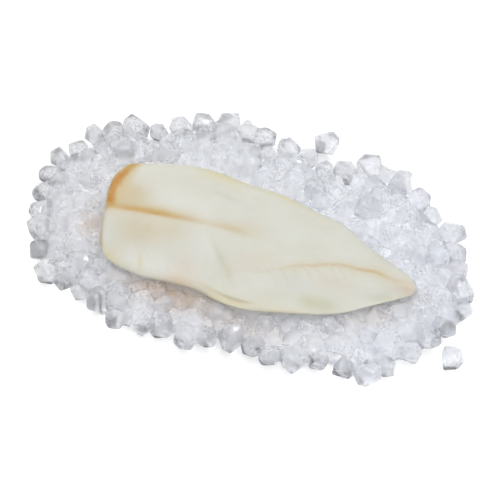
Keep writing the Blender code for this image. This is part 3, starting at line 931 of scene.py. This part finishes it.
def make_fillet(shift):
    flesh = add_object("fillet_flesh", fillet_shell(shift), flesh_finish())
    relief = flesh.modifiers.new("flakes", "NODES")
    relief.node_group = flake_tree()
    set_inputs(relief, {"Spacing": FLAKE_SPACING, "Depth": FLAKE_DEPTH})
    apply_modifiers(flesh)
    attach(flesh, "root")
    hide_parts("fillet")


def nugget_corners(kind):
    """Corners of one kind of nugget of unit width: a jittered ball of points, a little flattened."""
    draw = random.Random(SEED * 100 + kind)
    golden = math.pi * (3 - math.sqrt(5))
    corners = []
    for i in range(NUGGET_CORNERS):
        z = 1 - 2 * (i + 0.5) / NUGGET_CORNERS + draw.uniform(-CORNER_RISE, CORNER_RISE)
        turn = golden * i + draw.uniform(-CORNER_TURN, CORNER_TURN)
        flat = math.sqrt(1 - z * z)
        reach = NUGGET_REACH * draw.uniform(LEAST_REACH, 1)
        corners.append(Vector((flat * math.cos(turn), flat * math.sin(turn), z * NUGGET_FLATNESS)) * reach)
    return corners


def nugget_span(kind, turns, size):
    """Heights of a nugget's lowest and highest corner over its middle."""
    turn = Euler(turns).to_matrix() * size
    heights = [(turn @ corner).z for corner in nugget_corners(kind)]
    return min(heights), max(heights)


def nugget_shape(kind):
    """One kind of nugget of unit width: the hull of its corners with melted edges."""
    made = bmesh.new()
    for corner in nugget_corners(kind):
        made.verts.new(corner)
    hull = bmesh.ops.convex_hull(made, input=made.verts)
    inner = [item for item in hull["geom_interior"] if isinstance(item, bmesh.types.BMVert)]
    bmesh.ops.delete(made, geom=inner, context="VERTS")
    bmesh.ops.bevel(made, geom=made.edges[:], offset=NUGGET_ROUNDING, segments=2, profile=0.5,
                    affect="EDGES")
    return mesh_of(made, f"nugget_kind_{kind}")


def scattered(draw, loop, beside, spacing, places):
    """Adds places inside the loop and outside the other, each at least the spacing from the rest."""
    corner, far_corner = loop.min(0), loop.max(0)
    tries = np.array([[draw.uniform(corner[k], far_corner[k]) for k in (0, 1)] for _ in range(TRIES)])
    room = EDGE_ROOM * spacing
    roomy = (depth_in(loop, tries) > room) & (-depth_in(beside, tries) > room)
    for place in tries[roomy]:
        if not places or min(np.linalg.norm(place - other) for other in places) > spacing:
            places.append(place)
    return np.array(places)


def nugget_places():
    """Middles of the nuggets that show: a row on the outline, one round the fillet, the rest between."""
    draw = random.Random(SEED)
    bed = bed_outline(OUTLINE_FOR_PLACES)
    beside = offset_loop(fillet_outline(), BESIDE_FILLET)
    places = []
    for loop, spacing in ((bed, EDGE_SPACING), (beside, BESIDE_SPACING)):
        length = np.linalg.norm(np.roll(loop, -1, axis=0) - loop, axis=1).sum()
        count = round(length / spacing)
        for i in range(count):
            place = loop[round(i * len(loop) / count) % len(loop)]
            places.append(place + NUGGET_WANDER * np.array([draw.uniform(-1, 1), draw.uniform(-1, 1)]))
    return scattered(draw, bed, beside, INNER_SPACING, places)


def drawn_pose(draw):
    """A nugget's kind and its turns."""
    return draw.randrange(NUGGET_KINDS), tuple(draw.uniform(0, 2 * math.pi) for _ in range(3))


def settled(rise, beside, kind, turns, size):
    """A nugget's rise, clear of the floor and, beside the fillet, with its top below the seat."""
    lowest, highest = nugget_span(kind, turns, size)
    if beside:
        rise = min(rise, SEAT_HEIGHT - REST_GAP - (highest - lowest))
    return max(rise, FLOOR_CLEARANCE)


def nugget_spots():
    """Every nugget of the heap that shows, as (x, y, rise, size, kind, turns)."""
    draw = random.Random(SEED + 1)
    places = nugget_places()
    rises = PILE_RISE * smooth_step(depth_in(bed_outline(OUTLINE_FOR_HEIGHTS), places) / SLOPE_RUN)
    distances = -depth_in(fillet_outline(), places) - FILLET_CLEARANCE
    spots = []
    for (x, y), rise, distance in zip(places, rises, distances):
        size = NUGGET * draw.uniform(1 - NUGGET_SPREAD, 1 + NUGGET_SPREAD)
        rise += draw.uniform(*NUGGET_RISE) * MM
        kind, turns = drawn_pose(draw)
        beside = distance < NUGGET_REACH * size
        if beside:
            size = min(size, LOW_NUGGET)
        spots.append((x, y, settled(rise, beside, kind, turns, size), size, kind, turns))
    return spots


def fill_spots():
    """The small nuggets that lie lower, between the ones that show."""
    draw = random.Random(SEED + 3)
    bed = offset_loop(bed_outline(OUTLINE_FOR_FILLING), FILL_PAST_OUTLINE)
    places = scattered(draw, bed, offset_loop(fillet_outline(), -FILL_UNDER_FILLET), FILL_SPACING, [])
    distances = -depth_in(fillet_outline(), places) - FILLET_CLEARANCE
    spots = []
    for (x, y), height, distance in zip(places, ice_height(places), distances):
        size = FILL_NUGGET * draw.uniform(1 - FILL_SPREAD, 1 + FILL_SPREAD)
        kind, turns = drawn_pose(draw)
        lowest, highest = nugget_span(kind, turns, size)
        rise = height - FILL_SINK * (highest - lowest)
        beside = distance < NUGGET_REACH * size
        spots.append((x, y, settled(rise, beside, kind, turns, size), size, kind, turns))
    return spots


def scatter_tree(name, kinds, finish):
    """Geometry nodes that set one of the kinds on each point, turned and sized as the point says."""
    group, tree, given = new_group(name, ("Size",))
    shapes = tree.add("GeometryNodeCollectionInfo", {"transform_space": "ORIGINAL"},
                      {"Collection": kinds, "Separate Children": True, "Reset Children": True})[0]
    turn = tree.add("FunctionNodeEulerToRotation", None, {0: tree.named("turn", "FLOAT_VECTOR")})[0]
    placed = tree.add("GeometryNodeInstanceOnPoints", None, {
        "Points": given["Geometry"],
        "Instance": shapes,
        "Pick Instance": True,
        "Instance Index": tree.named("kind", "INT"),
        "Rotation": turn,
        "Scale": tree.named("width") * given["Size"],
    })[0]
    real = tree.add("GeometryNodeRealizeInstances", None, {0: placed})[0]
    done = tree.add("GeometryNodeSetMaterial", None, {"Geometry": real, "Material": finish})[0]
    tree.add("NodeGroupOutput", None, {0: done})
    return group


def shape_collection(name, shape):
    """The kinds of one shape as a collection of its own, which isn't shown."""
    kinds = bpy.data.collections.new(name)
    for kind in range(NUGGET_KINDS):
        kinds.objects.link(bpy.data.objects.new(f"{name}_{kind:02d}", shape(kind)))
    return kinds


def scatter(name, spots, shapes, finish, shift):
    """One piece of many: the shapes at the given spots, as a plain mesh."""
    middles = [Vector((x, y, rise - nugget_span(kind, turns, size)[0])) + shift
               for x, y, rise, size, kind, turns in spots]
    _, _, _, sizes, kinds, turns = zip(*spots)
    mesh = bpy.data.meshes.new(name)
    mesh.from_pydata(middles, [], [])
    set_attribute(mesh, "width", sizes)
    mesh.attributes.new("kind", "INT", "POINT").data.foreach_set("value", kinds)
    angles = [angle for turn in turns for angle in turn]
    mesh.attributes.new("turn", "FLOAT_VECTOR", "POINT").data.foreach_set("vector", angles)
    piece = add_object(name, mesh)
    spread = piece.modifiers.new("scatter", "NODES")
    spread.node_group = scatter_tree(name, shapes, finish)
    set_inputs(spread, {"Size": NUGGET_SCALE})
    apply_modifiers(piece)
    piece.visible_shadow = False
    return piece


def melt(piece, finish):
    """Lets the nuggets of a piece run together where they touch."""
    joined = piece.modifiers.new("joined", "REMESH")
    joined.mode = "VOXEL"
    joined.voxel_size = MELT_GRAIN
    softened = piece.modifiers.new("softened", "SMOOTH")
    softened.iterations = MELT_PASSES
    apply_modifiers(piece)
    piece.data.materials.clear()
    piece.data.materials.append(finish)
    piece.data.shade_smooth()


def mark_ice(piece, shift):
    """Stores which faces get painted shade, how much painted flesh shade each corner gets, and ties the
    piece down.
    """
    shape = piece.data
    normals = np.empty(len(shape.polygons) * 3, np.float32)
    shape.polygons.foreach_get("normal", normals)
    painted_shade_facing = normals.reshape(-1, 3) @ np.array(PAINTED_SHADE_SIDE, np.float32)
    shape.attributes.new("painted_shade_facing", "FLOAT", "FACE").data.foreach_set("value", painted_shade_facing)
    corners = np.empty(len(shape.vertices) * 3, np.float32)
    shape.vertices.foreach_get("co", corners)
    x, y = (corners[0::3] - shift.x) / MM, (corners[1::3] - shift.y) / MM
    set_attribute(shape, "flesh_shade", sum(patch_strength(x, y, *spot) for spot in FLESH_SHADE_SPOTS))
    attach(piece, "root")


def make_nuggets(shift):
    """The ice that shows: nuggets run together in the heap, and loose ones round its edge and on top."""
    clear = ice_finish("clear_ice", LOOSE_MILKINESS, LOOSE_GLOW)
    cloudy = ice_finish("cloudy_ice", HEAP_MILKINESS, HEAP_GLOW)
    shapes = shape_collection("nugget_kinds", nugget_shape)
    draw = random.Random(SEED + 2)
    spots = nugget_spots()
    at_edge = depth_in(bed_outline(OUTLINE_FOR_FILLING), np.array([spot[:2] for spot in spots])) < EDGE_ROW
    loose, melted = [], []
    for spot, edge in zip(spots, at_edge):
        stays_loose = draw.random() < (LOOSE_EDGE_SHARE if edge else LOOSE_SHARE)
        (loose if stays_loose else melted).append(spot)
    heap = scatter("heaped_ice", melted + fill_spots(), shapes, cloudy, shift)
    melt(heap, cloudy)
    mark_ice(heap, shift)
    mark_ice(scatter("loose_nuggets", loose, shapes, clear, shift), shift)
    for name, ((x, y), kind, turns) in STRAYS.items():
        spot = (x * MM, y * MM, 0, NUGGET, kind, turns)
        stray = scatter(name.replace("stray_nugget", "stray_ice"), [spot], shapes, clear, shift)
        mark_ice(stray, shift)
        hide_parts(name)
    for obj in list(shapes.objects):
        bpy.data.objects.remove(obj)
    bpy.data.collections.remove(shapes)


def make_packed_ice(shift):
    """The crushed ice under the nuggets, on a flat underside."""
    rim = offset_loop(bed_outline(CORE_SIDES), -CORE_INSET)
    made = bmesh.new()
    loops = [[made.verts.new((*place, 0)) for place in rim]]
    for share in np.linspace(0, 1, CORE_RINGS)[:-1] ** CORE_CROWDING:
        ring = rim * (1 - share)
        corners = np.column_stack([ring, ice_height(ring) - CORE_SINK])
        loops.append([made.verts.new(corner) for corner in corners])
    for outer, nearer in zip(loops, loops[1:]):
        for i in range(CORE_SIDES):
            k = (i + 1) % CORE_SIDES
            made.faces.new((outer[i], outer[k], nearer[k], nearer[i]))
    made.faces.new(loops[-1])
    made.faces.new(loops[0])
    mesh = mesh_of(made, "packed_ice")
    mesh.transform(Matrix.Translation(shift))
    mesh.shade_smooth()
    core = add_object("packed_ice", mesh, packed_ice_finish())
    mark_ice(core, shift)
    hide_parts("ice_bed")


# Stage: floor, light and camera

def make_floor():
    made = bmesh.new()
    bmesh.ops.create_grid(made, x_segments=1, y_segments=1, size=FLOOR_SIZE)
    floor = add_object("floor", mesh_of(made, "floor"), floor_finish())


def disk_lamp(name, place, size, power):
    """A round lamp that is aimed at the part."""
    data = bpy.data.lights.new(name, "AREA")
    data.shape = "DISK"
    data.size = size
    data.energy = power
    lamp = bpy.data.objects.new(name, data)
    lamp.location = place
    lamp.rotation_euler = (-Vector(place)).to_track_quat("-Z", "Y").to_euler()
    bpy.context.scene.collection.objects.link(lamp)
    return lamp


def make_light():
    world = bpy.data.worlds.new("studio")
    bpy.context.scene.world = world
    world.use_nodes = True
    world.node_tree.nodes.clear()
    tree = Tree(world.node_tree)
    direction = tree.add("ShaderNodeTexCoord")["Generated"]
    height = tree.add("ShaderNodeSeparateXYZ", None, {0: direction})["Z"]
    colour = tree.tint(LOW_SKY, HIGH_SKY, height.step(*SKY_RUN))
    sky = tree.add("ShaderNodeBackground", None, {"Color": colour, "Strength": 1.0})[0]
    tree.add("ShaderNodeOutputWorld", None, {"Surface": sky})
    disk_lamp("key", KEY_PLACE, KEY_SIZE, KEY_POWER)
    for number, place in enumerate(GLINTS):
        glint = disk_lamp(f"glint_{number}", place, GLINT_SIZE, GLINT_POWER)
        glint.visible_diffuse = False


def make_camera(shift):
    aim = shift + Vector((0, 0, AIM_HEIGHT))
    data = bpy.data.cameras.new("camera")
    data.lens = LENS
    data.sensor_width = SENSOR
    data.clip_start = NEAREST
    camera = bpy.data.objects.new("camera", data)
    back = Vector((math.sin(AZIMUTH) * math.cos(ELEVATION), -math.cos(AZIMUTH) * math.cos(ELEVATION),
                   math.sin(ELEVATION)))
    camera.location = aim + back * (VIEW_WIDTH * LENS / SENSOR)
    camera.rotation_euler = (-back).to_track_quat("-Z", "Y").to_euler()
    bpy.context.scene.collection.objects.link(camera)
    bpy.context.scene.camera = camera


def main():
    shift = frame_shift()
    make_camera(shift)
    make_floor()
    make_light()
    make_packed_ice(shift)
    make_nuggets(shift)
    make_fillet(shift)
    scene = bpy.context.scene
    scene.view_settings.view_transform = "Standard"
    scene.cycles.max_bounces = 18
    scene.cycles.transmission_bounces = 14
    scene.cycles.diffuse_bounces = 6


main()
